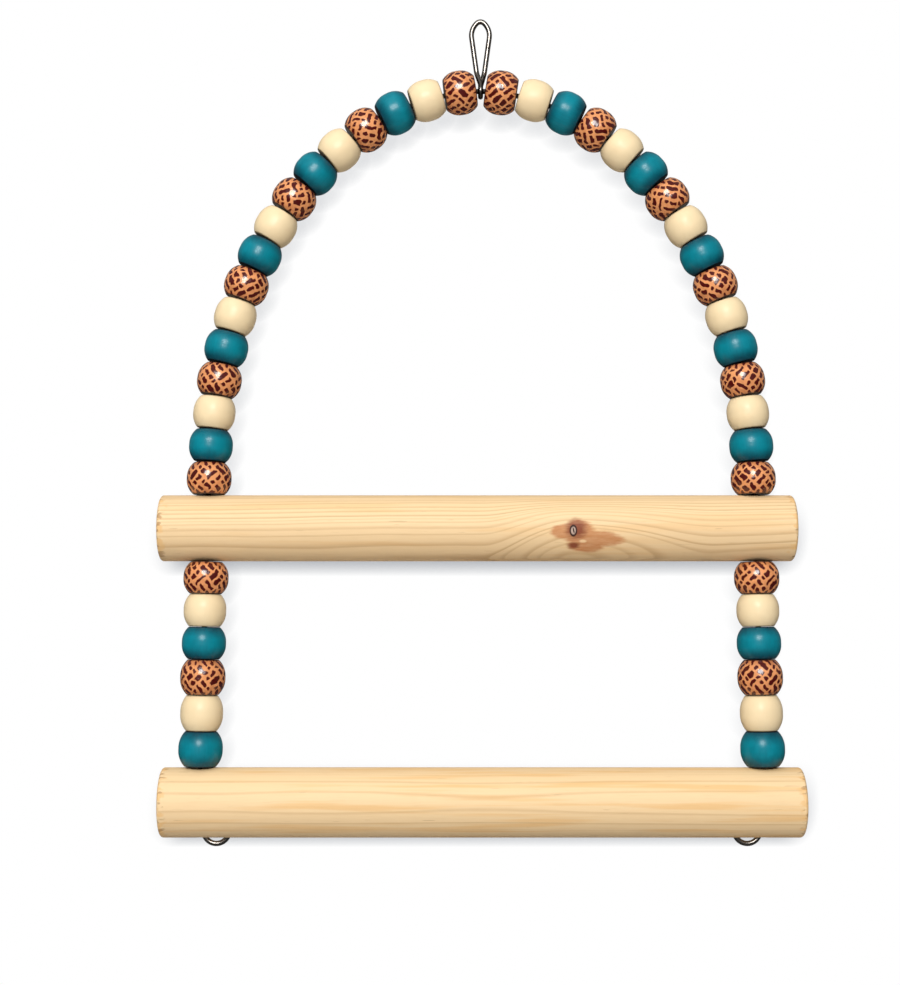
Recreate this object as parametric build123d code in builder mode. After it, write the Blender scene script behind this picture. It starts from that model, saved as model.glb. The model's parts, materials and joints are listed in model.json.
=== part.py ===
"""A bird swing: one bent steel wire, threaded with wooden beads, that carries two drilled pine perches.

The frame wire arches over the top, runs down through both perches and hooks back up into the lower one.
It hangs by a teardrop link between its two top beads, whose lower eye goes round the wire.
Millimetres, X along the perches, Y from front to back, Z up.
The origin is the hang point, the inside top of the link.
"""

import os
from math import acos, asin, atan2, cos, degrees, pi, radians, sin, sqrt, tan

from build123d import *

# Steel wire of the frame and of the hanging link
wire_diameter = 1.65
running_play = 0.1

# Hanging link, a teardrop of wire with a quarter twist at its neck and an eye round the frame wire
# Its ends butt on one leg, and the neck height and eye rise are above the frame wire
link_width = 7.5
link_inside_length = 23.3
link_crown_height = 4.6
link_crown_radius = 1.7
link_strand_gap = 0.1178
link_neck_height = 6.0
link_eye_rise = 0.25
link_bend_radius = 4.0
link_slit_width = 0.2
link_slit_share = 0.3

# Wooden barrel beads
arch_bead_length = 10.2
side_bead_lengths = (10.15, 10.15, 10.15, 11.05, 11.05, 11.05)
patterned_diameter = 14.1
cream_diameter = 13.3
teal_diameter = 13.8
bead_face_diameter = 9.7
bead_waist_length = 1.0
bead_hole_clearance = 1.15
bead_rim_radius = 0.55
bead_mouth_radius = 0.4
bead_gap = 0.1
top_bead_nip = 0.1

# How the beads are strung, from the top down on each side
arch_beads = 16
side_beads = len(side_bead_lengths)
bead_order = ("patterned", "cream", "teal")

# Slope of the wire below level, in degrees, at the top beads and down the legs
# The share is how sharply the arch bends where it meets the legs, next to its bend at the peak
peak_angle = 8.6
leg_angle = 88.9
arch_end_bend_share = 0.25

# Pine perches, alike in length, with the upper one set a little to the left
perch_overhang = 12.8
upper_perch_diameter = 20.9
lower_perch_diameter = 21.6
upper_perch_set_left = 1.4
perch_edge_radius = 1.0
perch_hole_clearance = 0.5

# Hooked ends of the frame wire, under the lower perch
hook_radius = 4.0
hook_inset = 5.4
hook_drop = 2.7
hook_tip_length = 3.5
leg_bend_radius = 12.0
tip_hole_clearance = 0.15

bead_diameters = {"patterned": patterned_diameter, "cream": cream_diameter, "teal": teal_diameter}
sides = {"left": -1, "right": 1}
half_turn = 180


def save(part, name):
    """Name a finished piece and write it to its own file."""
    part.label = name
    export_step(part, f"parts/{name}.step")


def bent_wire(name, path, diameter):
    """A round wire swept along a path."""
    with BuildPart() as piece:
        with BuildSketch(Plane(origin=path @ 0, z_dir=path % 0)):
            Circle(diameter / 2)
        sweep(path=path)
    save(piece.part, name)
    return piece.part


def downhill(slope):
    """The direction in the XZ plane that runs to +X and falls by this slope in degrees."""
    return Vector(cos(radians(slope)), 0, -sin(radians(slope)))


def arch_slope(index):
    """Slope of the wire at an arch bead, easing from the peak towards the legs."""
    along_share = index / (arch_beads - 1)
    eased_share = (1 - arch_end_bend_share**along_share) / (1 - arch_end_bend_share)
    return peak_angle + (leg_angle - peak_angle) * eased_share


os.makedirs("parts", exist_ok=True)

# The frame wire runs in the link's eye, with the running play all round
apex_z = running_play + wire_diameter / 2 - link_inside_length

# Bead stations on the right side, with the wire's slope at each
# The top beads stand apart by the link's two strands, less a nip that the slope of their faces gives back
top_bead_gap = 2 * wire_diameter - top_bead_nip
top_bead_x = (top_bead_gap + arch_bead_length * cos(radians(peak_angle))) / 2
apex = Vector(0, 0, apex_z)
arch_stations = [apex + Vector(top_bead_x, 0, -top_bead_x * tan(radians(peak_angle) / 2))]
arch_slopes = [arch_slope(index) for index in range(arch_beads)]
for slope, next_slope in zip(arch_slopes, arch_slopes[1:]):
    # Inner rims all but touch, so a bead on the bend stands off by the wedge between two faces
    wedge = bead_face_diameter * tan(radians(next_slope - slope) / 2)
    step = arch_bead_length + bead_gap + wedge
    arch_stations.append(arch_stations[-1] + downhill((slope + next_slope) / 2) * step)

# The legs run straight on from the arch, through the upper perch and the side beads
leg = downhill(leg_angle)
seat_drop = bead_face_diameter / 2 * leg.X + bead_gap


def leg_point(z):
    """The point of the right leg at this height."""
    start = arch_stations[-1]
    return start + leg * ((z - start.Z) / leg.Z)


upper_top_z = (arch_stations[-1] + leg * (arch_bead_length / 2)).Z - seat_drop
upper_perch_z = upper_top_z - upper_perch_diameter / 2
upper_bottom_z = upper_top_z - upper_perch_diameter
side_stations = []
bead_top = leg_point(upper_bottom_z - seat_drop)
for length in side_bead_lengths:
    side_stations.append(bead_top + leg * (length / 2))
    bead_top = bead_top + leg * (length + bead_gap)
lower_top_z = (bead_top - leg * bead_gap).Z - seat_drop
lower_perch_z = lower_top_z - lower_perch_diameter / 2
lower_bottom_z = lower_top_z - lower_perch_diameter

# Each leg leans in through the lower perch and meets the hook's circle on a tangent
leg_end = leg_point(lower_top_z)
hook_center_z = lower_bottom_z - hook_drop + wire_diameter / 2 + hook_radius
hook_center = Vector(leg_end.X - hook_inset, 0, hook_center_z)
to_leg = leg_end - hook_center
hook_start_angle = degrees(atan2(to_leg.Z, to_leg.X) - acos(hook_radius / to_leg.length))
hook_start = hook_center + downhill(-hook_start_angle) * hook_radius
hook_end = hook_center - Vector(hook_radius, 0, 0)
hook_mouth = sqrt(hook_radius**2 - (hook_center_z - lower_bottom_z) ** 2)

# Hanging link: a crown of three arcs on tapering legs, one of them open by a hair
half_link_width = (link_width - wire_diameter) / 2
crown_z = wire_diameter / 2 - link_crown_radius
flank_drop = link_crown_height - link_crown_radius
flank_step = half_link_width - link_crown_radius
flank_radius = link_crown_radius + (flank_drop**2 + flank_step**2) / (2 * flank_step)
flank_center = Vector(half_link_width - flank_radius, 0, crown_z - flank_drop)
flank_angle = degrees(asin(flank_drop / (flank_radius - link_crown_radius)))
link_strand_reach = (wire_diameter + link_strand_gap) / sqrt(2)
neck = Vector(link_strand_reach, 0, apex_z + link_neck_height)
to_neck = neck - flank_center
taper = degrees(atan2(to_neck.Z, to_neck.X) + acos(flank_radius / to_neck.length))
with BuildLine(Plane.XZ) as crown:
    CenterArc((0, crown_z), link_crown_radius, flank_angle, half_turn - 2 * flank_angle)
    flank = CenterArc((flank_center.X, flank_center.Z), flank_radius, taper, flank_angle - taper)
    mirror(about=Plane.YZ)

# Its strands pass each other in a quarter twist and close in the eye, on tangents
twist_end = Vector(0, link_strand_reach, apex_z + wire_diameter + link_eye_rise)
to_twist = twist_end - apex
link_eye_radius = wire_diameter + running_play
eye_angle = degrees(atan2(to_twist.Z, to_twist.Y) - acos(link_eye_radius / to_twist.length))
with BuildLine(Plane.YZ) as eye:
    eye_arc = CenterArc((0, apex_z), link_eye_radius, eye_angle, -half_turn - 2 * eye_angle)
open_leg = neck - flank @ 0
slit_top = flank @ 0 + open_leg * link_slit_share
slit_bottom = slit_top + open_leg.normalized() * link_slit_width
with BuildLine() as link_path:
    add(crown.line)
    add(eye.line)
    Line(flank @ 0, slit_top)
    FilletPolyline(slit_bottom, neck, twist_end, eye_arc @ 0, radius=link_bend_radius)
    far_strand = [point.rotate(Axis.Z, half_turn) for point in (flank @ 0, neck, twist_end, eye_arc @ 0)]
    FilletPolyline(*far_strand, radius=link_bend_radius)
bent_wire("hanging_link", link_path.wire(), wire_diameter)

# Frame wire: arcs from bead to bead over the arch, straight legs, and a hooked end on each side
with BuildLine(Plane.XZ) as frame_path:
    TangentArc(apex, arch_stations[0], tangent=downhill(0))
    for start, end, slope in zip(arch_stations, arch_stations[1:], arch_slopes):
        TangentArc(start, end, tangent=downhill(slope))
    FilletPolyline(arch_stations[-1], leg_end, hook_start, radius=leg_bend_radius)
    CenterArc(hook_center, hook_radius, hook_start_angle, -half_turn - hook_start_angle)
    Line(hook_end, hook_end + Vector(0, 0, hook_tip_length))
    mirror(about=Plane.YZ)
frame_wire = bent_wire("frame_wire", frame_path.wire(), wire_diameter)


def drilled_perch(name, diameter, axis_z, middle_x, holes, blind_holes):
    """A pine dowel along X with eased ends, drilled across for the wire and from below for the hook tips.

    Each hole is a place along X and a diameter, and each blind hole has a depth as well.
    """
    with BuildPart() as perch:
        with BuildSketch(Plane.YZ.offset(middle_x - perch_length / 2)):
            with Locations((0, axis_z)):
                Circle(diameter / 2)
        extrude(amount=perch_length)
        fillet(perch.edges().filter_by(GeomType.CIRCLE), perch_edge_radius)
        for x, hole_diameter in holes:
            with Locations((x, 0, axis_z)):
                Cylinder(hole_diameter / 2, 2 * diameter, mode=Mode.SUBTRACT)
        for x, hole_diameter, depth in blind_holes:
            with Locations(Plane((x, 0, axis_z - diameter / 2), z_dir=(0, 0, -1))):
                Hole(hole_diameter / 2, depth)
    save(perch.part, name)


def wire_hole(x, other_x, clearance):
    """Middle and diameter of an upright hole that the wire crosses between two places along X."""
    return (x + other_x) / 2, abs(x - other_x) + wire_diameter + 2 * clearance


# Perches: each hole is as wide as the wire's lean inside it and its clearance ask
upper_x, upper_hole = wire_hole(leg_point(upper_top_z).X, leg_point(upper_bottom_z).X, perch_hole_clearance)
lower_x, lower_hole = wire_hole(leg_end.X, hook_center.X + hook_mouth, perch_hole_clearance)
tip_x, tip_hole = wire_hole(hook_end.X, hook_center.X - hook_mouth, tip_hole_clearance)
tip_depth = hook_center_z + hook_tip_length + tip_hole_clearance - lower_bottom_z
perch_length = 2 * (lower_x + perch_overhang)
upper_holes = [(side * upper_x, upper_hole) for side in sides.values()]
lower_holes = [(side * lower_x, lower_hole) for side in sides.values()]
tip_holes = [(side * tip_x, tip_hole, tip_depth) for side in sides.values()]
drilled_perch("upper_perch", upper_perch_diameter, upper_perch_z, -upper_perch_set_left, upper_holes, [])
drilled_perch("lower_perch", lower_perch_diameter, lower_perch_z, 0, lower_holes, tip_holes)


def barrel_bead(name, finish, length, station, slope, side):
    """A turned barrel bead with flat ends and eased rims, threaded on the wire at a station."""
    center = Vector(side * station.X, 0, station.Z)
    fall = downhill(slope)
    along = Vector(side * fall.X, 0, fall.Z)
    hole_radius = wire_diameter / 2 + bead_hole_clearance
    waist_radius = bead_diameters[finish] / 2
    with BuildPart() as bead:
        with BuildSketch(Plane(center, x_dir=along, z_dir=(0, -1, 0))) as half_section:
            with BuildLine():
                waist = Line((-bead_waist_length / 2, waist_radius), (bead_waist_length / 2, waist_radius))
                upper = TangentArc(waist @ 0, (-length / 2, bead_face_diameter / 2), tangent=(-1, 0))
                lower = TangentArc(waist @ 1, (length / 2, bead_face_diameter / 2), tangent=(1, 0))
                Polyline(upper @ 1, (-length / 2, hole_radius), (length / 2, hole_radius), lower @ 1)
            make_face()
            mouths, rims, _ = half_section.vertices().group_by(Axis.Y)
            fillet(rims, bead_rim_radius)
            fillet(mouths, bead_mouth_radius)
        revolve(axis=Axis(center, along))
    save(bead.part, name)


# Beads, strung from the top down on each side
for side_name, side in sides.items():
    for row, lengths, stations, slopes in (
        ("arch", [arch_bead_length] * arch_beads, arch_stations, arch_slopes),
        ("side", side_bead_lengths, side_stations, [leg_angle] * side_beads),
    ):
        for index, (length, station, slope) in enumerate(zip(lengths, stations, slopes)):
            finish = bead_order[index % len(bead_order)]
            barrel_bead(
                f"{side_name}_{row}_bead_{index + 1:02d}_{finish}", finish, length, station, slope, side
            )

wire_length = frame_path.wire().length
swept_volume = wire_length * pi * wire_diameter**2 / 4
print(f"frame wire {wire_length:.1f} long, swept volume over section times length"
      f" {frame_wire.volume / swept_volume:.5f}")
print(f"apex z {apex_z:.2f}, top bead gap {top_bead_gap:.2f}, last arch bead {arch_stations[-1]}")
print(f"upper perch z {upper_perch_z:.2f}, hole x {upper_x:.2f} diameter {upper_hole:.2f}")
print(f"lower perch z {lower_perch_z:.2f}, hole x {lower_x:.2f} diameter {lower_hole:.2f}")
print(f"side beads from {side_stations[0]} to {side_stations[-1]}")
print(f"hook centre {hook_center}, tip hole x {tip_x:.2f} diameter {tip_hole:.2f} depth {tip_depth:.2f}")
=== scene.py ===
import json
from math import pi, radians, sqrt

import bpy
from mathutils import Matrix, Vector


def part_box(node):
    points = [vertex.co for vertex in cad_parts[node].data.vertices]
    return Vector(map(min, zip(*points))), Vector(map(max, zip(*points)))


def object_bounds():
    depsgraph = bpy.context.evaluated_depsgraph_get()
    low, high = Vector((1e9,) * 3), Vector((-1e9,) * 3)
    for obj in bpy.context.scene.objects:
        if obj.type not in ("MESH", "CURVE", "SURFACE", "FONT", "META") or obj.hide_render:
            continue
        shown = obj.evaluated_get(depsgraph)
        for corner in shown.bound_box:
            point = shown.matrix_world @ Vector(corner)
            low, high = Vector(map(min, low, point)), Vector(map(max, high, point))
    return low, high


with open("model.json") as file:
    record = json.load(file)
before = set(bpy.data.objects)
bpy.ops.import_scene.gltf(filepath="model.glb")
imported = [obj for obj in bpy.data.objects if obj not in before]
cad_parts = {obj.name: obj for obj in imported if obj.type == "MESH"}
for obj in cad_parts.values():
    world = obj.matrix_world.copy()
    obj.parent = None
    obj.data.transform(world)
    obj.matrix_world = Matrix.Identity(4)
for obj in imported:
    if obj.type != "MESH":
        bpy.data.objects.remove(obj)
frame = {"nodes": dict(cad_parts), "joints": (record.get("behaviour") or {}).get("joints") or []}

cad_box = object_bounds()

# Hanging link and frame wire
# Bright drawn steel wire, bent cold and left as it comes from the die, a little dull in places.
# The link goes over a cage hook, and the frame wire hangs in its eye. Above the lower perch the frame wire
# is darker and rougher, which is painted shade where the beads shade it.
mm = 0.001
steel_bright = (0.27, 0.245, 0.220, 1)
steel_dull = (0.18, 0.162, 0.145, 1)
# Painted shade: the colour of the wire where the beads shade it.
painted_shade_steel = (0.030, 0.027, 0.024, 1)
steel_smooth, steel_rough = 0.23, 0.29
# Extra roughness where the wire has painted shade.
painted_shade_rough = 0.3
patch_scale, die_line_scale = 0.35, 5.0
die_line_depth = 0.0006


class Shade:
    """One output among a material's nodes: arithmetic on it adds Math nodes."""

    def __init__(self, tree, socket=None):
        self.tree = tree
        self.socket = socket

    def node(self, kind, settings, sockets, output=0):
        """A node of this type: its settings first, then values or links for its sockets."""
        made = self.tree.nodes.new("ShaderNode" + kind)
        for name, setting in settings.items():
            setattr(made, name, setting)
        for name, value in sockets.items():
            if isinstance(value, Shade):
                self.tree.links.new(value.socket, made.inputs[name])
            else:
                made.inputs[name].default_value = value
        return Shade(self.tree, made.outputs[output] if made.outputs else None)

    def math(self, operation, *values):
        return self.node("Math", {"operation": operation}, dict(enumerate(values)))

    def __add__(self, other):
        return self.math("ADD", self, other)

    def __radd__(self, other):
        return self.math("ADD", other, self)

    def __sub__(self, other):
        return self.math("SUBTRACT", self, other)

    def __rsub__(self, other):
        return self.math("SUBTRACT", other, self)

    def __mul__(self, other):
        return self.math("MULTIPLY", self, other)

    def __rmul__(self, other):
        return self.math("MULTIPLY", other, self)

    def __truediv__(self, other):
        return self.math("DIVIDE", self, other)

    def __abs__(self):
        return self.math("ABSOLUTE", self)

    def __gt__(self, other):
        return self.math("GREATER_THAN", self, other)

    def larger(self, other):
        return self.math("MAXIMUM", self, other)

    def floor(self):
        return self.math("FLOOR", self)

    def ramp(self, start, end):
        """0 up to start, 1 from end on, and an eased rise between: start may be the larger."""
        ends = {"Value": self, "From Min": start, "From Max": end}
        return self.node("MapRange", {"interpolation_type": "SMOOTHSTEP"}, ends)

    def blend(self, start, end):
        """The colour that lies this far from start to end."""
        return self.node("Mix", {"data_type": "RGBA"}, {0: self, 6: start, 7: end}, 2)

    def parts(self):
        """The three numbers of a vector."""
        return [self.node("SeparateXYZ", {}, {"Vector": self}, axis) for axis in "XYZ"]

    def stretched(self, x, y, z):
        """A vector with each number multiplied."""
        return self.node("VectorMath", {"operation": "MULTIPLY"}, {0: self, 1: (x, y, z)})

    def noise(self, scale, detail=2, roughness=0.5):
        """Smooth noise about 0.5 on a vector, with this many swings in each of its units."""
        sockets = {"Vector": self, "Scale": scale, "Detail": detail, "Roughness": roughness}
        return self.node("TexNoise", {}, sockets)


def in_millimetres(tree, middle=(0, 0, 0), turn=(0, 0, 0)):
    """Places on a piece in millimetres, from its middle and along its turned axes."""
    place = Shade(tree).node("TexCoord", {}, {}, "Object")
    sockets = {"Vector": place, "Location": middle, "Rotation": turn, "Scale": (mm, mm, mm)}
    return place.node("Mapping", {"vector_type": "TEXTURE"}, sockets)


def new_finish(name):
    """A material with no nodes yet."""
    material = bpy.data.materials.new(name)
    material.use_nodes = True
    material.node_tree.nodes.clear()
    return material


def surface(color, sockets, height, depth):
    """Close a finish: its colour, its other sockets and a relief this deep in metres."""
    normal = color.node("Bump", {}, {"Height": height, "Distance": depth})
    shader = color.node("BsdfPrincipled", {}, {"Base Color": color, "Normal": normal, **sockets})
    color.node("OutputMaterial", {}, {"Surface": shader})


def wear(node_name, material):
    """Give a piece of the frame its finish."""
    slots = frame["nodes"][node_name].material_slots
    for slot in slots:
        slot.material = material


def drawn_wire(name, painted_shade_bottom, painted_shade_top):
    """Bright wire with cloudy patches, and painted shade on it, darker and rougher, that sets in between two
    heights.
    """
    material = new_finish(name)
    place = in_millimetres(material.node_tree)
    _, _, z = place.parts()
    dull = place.noise(patch_scale, 3).ramp(0.42, 0.66)
    die_lines = place.noise(die_line_scale, 3)
    # Painted shade: the wire turns dark and rough between these heights and stays so above them.
    painted_shade = z.ramp(painted_shade_bottom, painted_shade_top)
    color = (dull * 0.7 + die_lines * 0.3).blend(steel_bright, steel_dull)
    sheen = dull * (steel_rough - steel_smooth) + steel_smooth + painted_shade * painted_shade_rough
    shine = {"Metallic": 1, "Roughness": sheen}
    surface(painted_shade.blend(color, painted_shade_steel), shine, die_lines, die_line_depth * mm)
    wear(name, material)


lower_perch_box = [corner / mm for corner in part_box("lower_perch")]
# The painted shade starts above the top of the link, so the link has none; on the frame wire it sets in
# across the lower perch.
painted_shade_above_link = (40, 50)
drawn_wire("hanging_link", *painted_shade_above_link)
drawn_wire("frame_wire", painted_shade_bottom=lower_perch_box[0].z, painted_shade_top=lower_perch_box[1].z)

# Cream and teal beads
# Barrel beads turned from pale wood across a mandrel, so fine tool rings run round them.
# The cream ones are clear lacquered and the teal ones are dyed and lacquered to a satin gloss.
cream_pale = (0.87, 0.695, 0.43, 1)
cream_tan = (0.81, 0.605, 0.345, 1)
teal_light = (0.0003, 0.225, 0.290, 1)
teal_deep = (0.0003, 0.036, 0.060, 1)
bead_spins = {joint["child"]: joint for joint in frame["joints"] if "bead" in joint["child"]}
golden_turn = pi * (3 - sqrt(5))
face_start, face_full = -0.45, -0.1
tool_ring_depth = 0.002


def bead_place(material, name, count):
    """Places on a bead in millimetres, with Z along its hole and its own turn about it."""
    spin = bead_spins[name]
    stand = Vector(spin["axis"]).to_track_quat("Z", "Y").to_matrix()
    turned = stand @ Matrix.Rotation(count * golden_turn, 3, "Z")
    return in_millimetres(material.node_tree, spin["pos_m"], turned.to_euler())


def bead_half_length(name):
    """Half of a bead's length along its hole, in millimetres."""
    axis = Vector(bead_spins[name]["axis"])
    reach = [axis.dot(corner.co) for corner in frame["nodes"][name].data.vertices]
    return (max(reach) - min(reach)) / 2 / mm


def faced(z, color, half_length, end_color, end_share):
    """A bead's colour with its end faces darkened as painted shade in the gaps between beads, and how far a
    place is a face's.
    """
    # Painted shade: the last part of each end is darkened where the beads meet.
    face = (abs(z) - half_length).ramp(face_start, face_full)
    dark = tuple(channel * end_share for channel in end_color[:3]) + (1,)
    return face.blend(color, dark), face


def turned_bead(name, count, light, deep, gloss, painted_end_shade, end_share):
    """A plain bead: two shades of one colour along the grain, painted shade that darkens it towards its
    ends, and tool rings.
    """
    material = new_finish(name)
    place = bead_place(material, name, count)
    _, _, z = place.parts()
    half_length = bead_half_length(name)
    grain = place.stretched(1, 1, 0.12).noise(1.6, 4, 0.6)
    cloud = place.noise(0.16, 2)
    rings = place.stretched(0.02, 0.02, 1).noise(3.2, 2)
    shade = grain.ramp(0.35, 0.75) * 0.10 + cloud.ramp(0.35, 0.7) * 0.20 + rings * 0.06
    # Painted shade: the bead is darkened towards both ends.
    shade = shade + abs(z).ramp(0.2 * half_length, half_length) * painted_end_shade
    # Painted shade: the end faces are darkened where the beads meet.
    color, face = faced(z, shade.blend(light, deep), half_length, deep, end_share)
    sheen = gloss + grain * 0.06 + face * 0.4
    shine = {"Roughness": sheen, "Specular IOR Level": 0.22, "Coat Weight": 0.16, "Coat Roughness": 0.22}
    surface(color, shine, rings * 0.5 + grain * 0.5, tool_ring_depth * mm)
    wear(name, material)


# Each bead is darkened towards its ends and on its end faces, as painted shade.
for count, name in enumerate(bead_spins):
    if "cream" in name:
        turned_bead(name, count, cream_pale, cream_tan, gloss=0.40, painted_end_shade=0.1, end_share=0.6)
    if "teal" in name:
        turned_bead(name, count, teal_light, teal_deep, gloss=0.30, painted_end_shade=0.7, end_share=0.3)

# Patterned beads
# The same barrel beads, stained tan and drawn over with short dark bars in a basket weave.
# The weave runs at half a right angle to the hole, under a thick gloss lacquer, and the end faces are
# darkened with painted shade where the beads meet.
tan_stain = (0.80, 0.325, 0.125, 1)
# The darker tan serves the stain's random clouds and the painted shade towards the bead ends.
tan_shade = (0.46, 0.150, 0.048, 1)
bar_ink = (0.072, 0.0016, 0.0004, 1)
# Painted shade on the end faces of the patterned beads, where the beads meet.
painted_gap_shade_brown = (0.13, 0.030, 0.012, 1)
patterned_girth = 14.1 * pi
weave_tiles = 7
bar_half_length_share, bar_half_width_share = 0.42, 0.140
bar_round_share = 0.16
short_bar_middle, short_bar_half_length = -0.18, 0.25
dot_middle, dot_half_length = 0.31, 0.125
weave_bend = 0.4
flipped_tiles = 0.78
one_bar_lanes, mirrored_lanes = 0.34, 0.67
# How strongly the patterned beads' end faces are darkened with painted shade.
painted_gap_shade_share = 0.25
lacquer_depth = 0.26


def pattern(place, seed):
    """How inked a place on a patterned bead is, from 0 to 1."""
    bend = place.node("TexNoise", {}, {"Vector": place, "Scale": 0.5, "Detail": 1}, "Color")
    bend_x, bend_y, _ = bend.parts()
    x, y, z = place.parts()
    round_share = x.math("ARCTAN2", y, x) * (weave_tiles / (2 * pi))
    along_share = z * (weave_tiles / patterned_girth)
    rising = round_share + along_share + (bend_x - 0.5) * weave_bend
    falling = round_share - along_share + (bend_y - 0.5) * weave_bend
    column, row = rising.floor(), falling.floor()
    round_tile = column.math("FLOORED_MODULO", column, weave_tiles)
    tile = column.node("CombineXYZ", {}, {"X": round_tile, "Y": column - row, "Z": seed})
    chance = tile.node("TexWhiteNoise", {"noise_dimensions": "3D"}, {"Vector": tile}, "Color")
    flip, cut, reach = chance.parts()
    checker = column.math("FLOORED_MODULO", column + row, 2)
    crossed = column.math("COMPARE", checker, flip > flipped_tiles, 0.1)
    in_rising = rising - column - 0.5
    in_falling = falling - row - 0.5
    along = in_falling + crossed * (in_rising - in_falling)
    across = in_rising + crossed * (in_falling - in_rising)
    lane = across > 0
    across = abs(abs(across) - 0.25) - bar_half_width_share * (0.85 + 0.3 * reach)
    # A third of the lanes hold one long bar, and the others a short bar and a dot
    lane_cut = cut.math("FRACT", cut + lane * 0.5)
    mirrored = along * (1 - 2 * (lane_cut > mirrored_lanes))
    split = lane_cut > one_bar_lanes
    whole_bar = abs(along) - bar_half_length_share
    short_bar = abs(mirrored - short_bar_middle) - short_bar_half_length
    dot = abs(mirrored - dot_middle) - dot_half_length
    parted = short_bar.math("MINIMUM", short_bar, dot)
    length = whole_bar + split * (parted - whole_bar)
    edge = length.math("SMOOTH_MAX", length, across, bar_round_share)
    return edge.ramp(0.030, -0.010)


def patterned_bead(name, count):
    """A bead with the bar pattern, a stain darker in random clouds and, as painted shade, towards its ends,
    and end faces darkened with painted shade.
    """
    material = new_finish(name)
    place = bead_place(material, name, count)
    _, _, z = place.parts()
    ink = pattern(place, count)
    cloud = place.noise(0.3, 3)
    end = abs(z)
    # Painted shade: the stain darkens towards both ends of the bead, on top of its random clouds.
    stain = (cloud.ramp(0.4, 0.75) * 0.45 + end.ramp(2.8, 5.0) * 0.6).blend(tan_stain, tan_shade)
    inked = ink.blend(stain, bar_ink)
    # Painted shade: the end faces are darkened where the beads meet.
    color, face = faced(z, inked, bead_half_length(name), painted_gap_shade_brown, painted_gap_shade_share)
    lacquer = place.noise(0.55, 1)
    sheen = 0.22 + 0.06 * cloud + 0.5 * face
    shine = {"Roughness": sheen, "Specular IOR Level": 0.30, "Coat Weight": 0.75, "Coat Roughness": 0.13}
    surface(color, shine, lacquer + ink * 0.08, lacquer_depth * mm)
    wear(name, material)


for count, name in enumerate(bead_spins):
    if "patterned" in name:
        patterned_bead(name, count)

# Perches
# Pine dowels, turned and sanded but not varnished, drilled across for the wire and sawn square.
# Their growth rings run through the whole solid, so the sides and the sawn ends show one grain.
pine_pale = (0.85, 0.615, 0.345, 1)
pine_late = (0.50, 0.275, 0.105, 1)
pine_amber = (0.80, 0.47, 0.175, 1)
pine_fleck = (0.34, 0.17, 0.065, 1)
knot_brown = (0.54, 0.205, 0.070, 1)
knot_dark = (0.22, 0.045, 0.018, 1)
knot_bark = (0.030, 0.008, 0.004, 1)
knot_core = (0.50, 0.36, 0.29, 1)
pith_distance = 34
seed_shift = Vector((40, 17, 9))
grain_depth = 0.06


def oval(x, z, middle, reach):
    """Distance from the middle of an oval, which is 1 on its outline."""
    across = (x - middle[0]) / reach[0]
    up = (z - middle[1]) / reach[1]
    return across.math("SQRT", across * across + up * up)


def knotted(x, y, z, streak):
    """A knot on the front of a perch: how far it lifts the grain, and a function that paints it."""
    front = y.ramp(0, -4)
    lift = front * z.ramp(13, 4) * abs(x / (28 + 17 * (x > 0))).ramp(1, 0) * 6
    rough = (streak - 0.5) * 0.5
    patch = 1 - oval(x, z, (-2.6, -0.3), (5.2, 2.6))
    for middle, reach in (((1.8, -0.7), (5.6, 4.9)), ((8.0, -1.9), (8.6, 2.7)), ((3.6, -4.3), (6.4, 2.2))):
        patch = patch.math("SMOOTH_MAX", patch, 1 - oval(x, z + x * 0.06, middle, reach), 0.25)
    stain = (patch + rough).ramp(-0.05, 0.35) * front
    halo = (1 - oval(x, z, (0.9, 0.4), (4.3, 4.0)) + rough).ramp(-0.05, 0.65) * front
    foot = (1 - oval(x, z, (0.2, -4.5), (2.6, 1.3)) + rough).ramp(0, 0.7) * front
    gleam = (1 - oval(x, z, (3.0, -3.2), (1.8, 0.7)) + rough).ramp(0.1, 0.6) * front
    bark = oval(x, z, (0, 0), (1.15, 1.8))
    slit = oval(x + z * 0.2, z, (0.1, 0.1), (0.22, 0.9))

    def paint(color):
        color = (stain * (0.50 + 0.6 * streak)).blend(color, knot_brown)
        color = (halo.larger(foot) * 0.9).blend(color, knot_dark)
        color = (gleam * 0.8).blend(color, pine_pale)
        color = (bark.ramp(1.15, 0.92) * front).blend(color, knot_bark)
        color = (bark.ramp(0.78, 0.52) * front).blend(color, knot_core)
        return (slit.ramp(1.3, 0.7) * front).blend(color, knot_bark)

    return lift, paint


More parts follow.
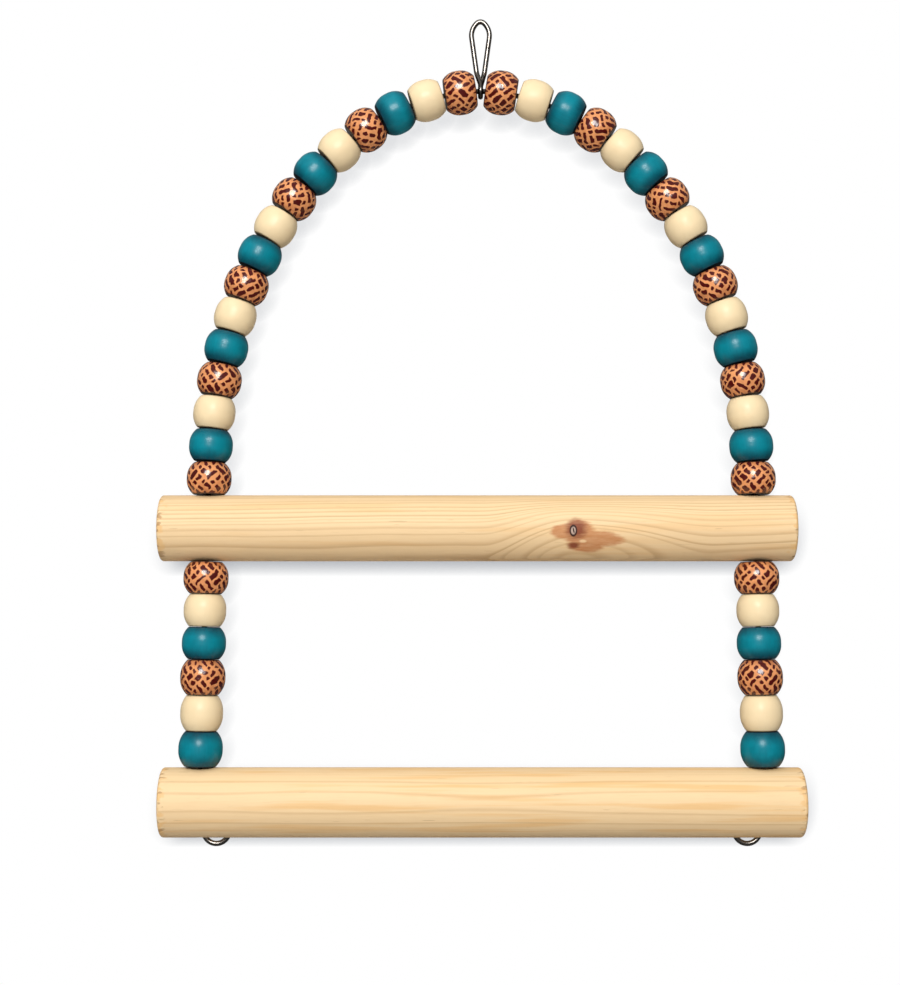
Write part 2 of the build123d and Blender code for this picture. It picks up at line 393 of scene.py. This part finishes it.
def pine_perch(
    name, ring_tilt, ring_width, ring_slope, sway_reach, line_share, line_depth, amber_depth, seed, knot=None
):
    """A perch's wood: its rings round a far pith, fibres, flecks and torn end rims."""
    low, high = (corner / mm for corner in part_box(name))
    middle = (low + high) / 2
    half_length = (high.x - low.x) / 2
    radius = (high.z - low.z) / 2
    material = new_finish(name)
    place = in_millimetres(material.node_tree, middle * mm)
    x, y, z = place.parts()
    pith = Vector((0, 0, 1)) @ Matrix.Rotation(radians(ring_tilt), 3, "X") * pith_distance
    shifted = place.node("VectorMath", {"operation": "ADD"}, {0: place, 1: seed_shift * seed})
    fibres = shifted.stretched(0.06, 1.4, 1.4).noise(2.2, 4, 0.65)
    lifted, paint = z, None
    if knot:
        streak = shifted.stretched(0.25, 1.2, 1.2).noise(1.0, 3, 0.6)
        lift, paint = knotted(x - knot[0], y, z - knot[1], streak)
        lifted = z - lift
    sway = shifted.stretched(0.009, 0.02, 0.02).noise(1.0, 1) - 0.5
    waver = shifted.stretched(0.035, 0.09, 0.09).noise(1.0, 1) - 0.5
    from_pith = oval(y, lifted, (pith.y, pith.z), (1, 1))
    rings = from_pith + x * ring_slope + (sway + waver * 0.12) * sway_reach
    drift = rings.node("CombineXYZ", {}, {"X": rings, "Y": seed}).noise(0.3, 1)
    phase = rings / ring_width + drift * 3
    ring = phase.floor()
    chance = ring.node("TexWhiteNoise", {"noise_dimensions": "1D"}, {"W": ring + seed * 10})
    part = phase - ring
    late = part.ramp(0.90 - line_share, 0.90) * part.ramp(1.0, 0.90 - 0.1 * line_share)
    amber = shifted.stretched(0.018, 0.38, 0.38).noise(1.0, 2).ramp(0.50, 0.70)
    color = (amber * amber_depth).blend(pine_pale, pine_amber)
    color = (late * (0.4 + 0.6 * chance) * line_depth + fibres.ramp(0.5, 0.8) * 0.12).blend(color, pine_late)
    flecks = shifted.stretched(0.10, 2.0, 2.0).noise(1.0, 2).ramp(0.70, 0.76)
    color = (flecks * 0.30).blend(color, pine_fleck)
    if paint:
        color = paint(color)
    end = abs(x) - half_length
    sawn = end.ramp(-0.25, -0.05)
    rim = oval(y, z, (0, 0), (1, 1)).ramp(radius - 1.4, radius - 0.5)
    torn = shifted.stretched(0.3, 0.7, 0.7).noise(1.0, 3)
    blotch = shifted.stretched(0.25, 0.4, 0.4).noise(1.0, 2)
    ticks = (torn + end * 0.03).ramp(0.52, 0.60) * end.ramp(-3.2, -0.9)
    chips = (blotch + end * 0.06).ramp(0.42, 0.52) * end.ramp(-4.5, -1.0)
    color = (chips * rim * 0.6).blend(color, pine_amber)
    color = (sawn * 0.4).blend((ticks * rim * 0.6).blend(color, pine_fleck), pine_amber)
    shine = {"Roughness": 0.50 + fibres * 0.15, "Specular IOR Level": 0.35}
    surface(color, shine, fibres * 0.7 + late * 0.3 - ticks * rim, grain_depth * mm)
    wear(name, material)


pine_perch(
    "upper_perch", ring_tilt=25, ring_width=1.35, ring_slope=0.012, sway_reach=4.0,
    line_share=0.5, line_depth=0.6, amber_depth=0.3, seed=1, knot=(29.8, -1.4),
)
pine_perch(
    "lower_perch", ring_tilt=95, ring_width=1.0, ring_slope=0.002, sway_reach=1.2,
    line_share=0.2, line_depth=0.35, amber_depth=0.6, seed=4,
)

# Studio: a pale floor under the swing and a sheet of shade close behind it
# The sheet only darkens what is behind it where the swing is near, as a white wall would.
studio_white = (1, 1, 1, 1)
floor_grey = (0.50, 0.485, 0.47, 1)
floor_dark = (0.10, 0.10, 0.10, 1)
floor_drop = 0.24
floor_size = 8.0
sheet_size = 0.40
sheet_behind = 0.0115
shade_reach = 0.0083
shade_depth = 1.7
shade_lean = (-0.42, -0.30, 0.86)
shade_grey = (0.30, 0.32, 0.36, 1)


def new_plane(name, size, place, turn):
    """A flat square of the studio, which isn't part of the swing."""
    bpy.ops.object.select_all(action="DESELECT")
    bpy.ops.mesh.primitive_plane_add(size=size, location=place, rotation=turn)
    plane = bpy.context.object
    plane.name = name
    bpy.ops.object.transform_apply()
    return plane


def show(shade, shader):
    """Close a studio finish with this shader."""
    shade.node("OutputMaterial", {}, {"Surface": shader})


floor = new_plane("floor", floor_size, (0, 0, cad_box[0].z - floor_drop), (0, 0, 0))
floor_finish = new_finish("floor_paper")
shade = Shade(floor_finish.node_tree)
straight = shade.node("LightPath", {}, {}, "Is Camera Ray")
mirrored = shade.node("LightPath", {}, {}, "Is Glossy Ray")
paper_color = straight.blend(mirrored.blend(floor_grey, floor_dark), studio_white)
matt = shade.node("BsdfDiffuse", {}, {"Color": paper_color})
glow = shade.node("Emission", {}, {"Color": studio_white, "Strength": 1})
x, y, _ = shade.node("TexCoord", {}, {}, "Object").parts()
far = (x * x + y * y).ramp(0.05, 0.8)
paper = shade.node("MixShader", {}, {0: straight * (0.7 + 0.3 * far), 1: matt, 2: glow})
clear = shade.node("BsdfTransparent", {}, {})
below = shade.node("NewGeometry", {}, {}, "Backfacing")
show(shade, shade.node("MixShader", {}, {0: below, 1: paper, 2: clear}))
floor.data.materials.append(floor_finish)

sheet_middle = (cad_box[0] + cad_box[1]) / 2
sheet_middle.y = sheet_behind
sheet = new_plane("shade_sheet", sheet_size, sheet_middle, (pi / 2, 0, 0))
sheet_finish = new_finish("shade_sheet")
shade = Shade(sheet_finish.node_tree)
lean = shade.node("CombineXYZ", {}, dict(zip("XYZ", Vector(shade_lean).normalized())))
open_share = shade.node(
    "AmbientOcclusion", {"samples": 16}, {"Distance": shade_reach, "Normal": lean}, "AO"
)
front = 1 - shade.node("NewGeometry", {}, {}, "Backfacing")
straight = shade.node("LightPath", {}, {}, "Is Camera Ray")
veil = (1 - open_share) * front * straight * shade_depth
tint = veil.blend(studio_white, shade_grey)
show(shade, shade.node("BsdfTransparent", {}, {"Color": tint}))
sheet.data.materials.append(sheet_finish)

# Light: a softbox in front and above, and wider ones overhead and behind
# The surround is dim at the sides, so that the wire keeps dark edges.
scene = bpy.context.scene
scene.view_settings.view_transform = "Standard"
aim = Vector((0, 0, -0.15))


def softbox(name, place, size, power, mirrored):
    """A round lamp that faces the swing and isn't seen itself, though it may be mirrored."""
    lamp = bpy.data.lights.new(name, "AREA")
    lamp.shape = "DISK"
    lamp.size = size
    lamp.energy = power
    holder = bpy.data.objects.new(name, lamp)
    holder.location = place
    holder.rotation_euler = (aim - holder.location).to_track_quat("-Z", "Y").to_euler()
    holder.visible_camera = False
    holder.visible_glossy = mirrored
    scene.collection.objects.link(holder)


softbox("key_softbox", Vector((-0.15, -1.35, 0.40)), size=0.68, power=18.2, mirrored=True)
softbox("top_softbox", Vector((-0.4, -0.60, 1.10)), size=1.00, power=6.2, mirrored=False)
softbox("back_softbox", Vector((0.3, 1.30, 0.0)), size=1.00, power=11, mirrored=False)

surround = bpy.data.worlds.new("surround")
scene.world = surround
surround.use_nodes = True
surround.node_tree.nodes.clear()
shade = Shade(surround.node_tree)
_, back, up = shade.node("TexCoord", {}, {}, "Generated").parts()
level = 0.09 + 0.16 * up.ramp(-0.3, 0.9) + 0.16 * back.ramp(-0.3, -1.0)
dim = shade.node("Background", {}, {"Color": studio_white, "Strength": level})
white = shade.node("Background", {}, {"Color": studio_white, "Strength": 1})
straight = shade.node("LightPath", {}, {}, "Is Camera Ray")
sky = shade.node("MixShader", {}, {0: straight, 1: dim, 2: white})
shade.node("OutputWorld", {}, {"Surface": sky})

# Camera: level with the middle of the swing, half a metre in front and tilted up a little
photo_height = 985
focal_pixels = 1660
film_width = 36.0
camera_place = Vector((-9.9, -524.8, -198.8)) * mm
camera_tilt = 5
lens = bpy.data.cameras.new("camera")
lens.sensor_width = film_width
lens.lens = film_width * focal_pixels / photo_height
camera = bpy.data.objects.new("camera", lens)
camera.location = camera_place
camera.rotation_euler = (radians(90 + camera_tilt), 0, 0)
scene.collection.objects.link(camera)
scene.camera = camera
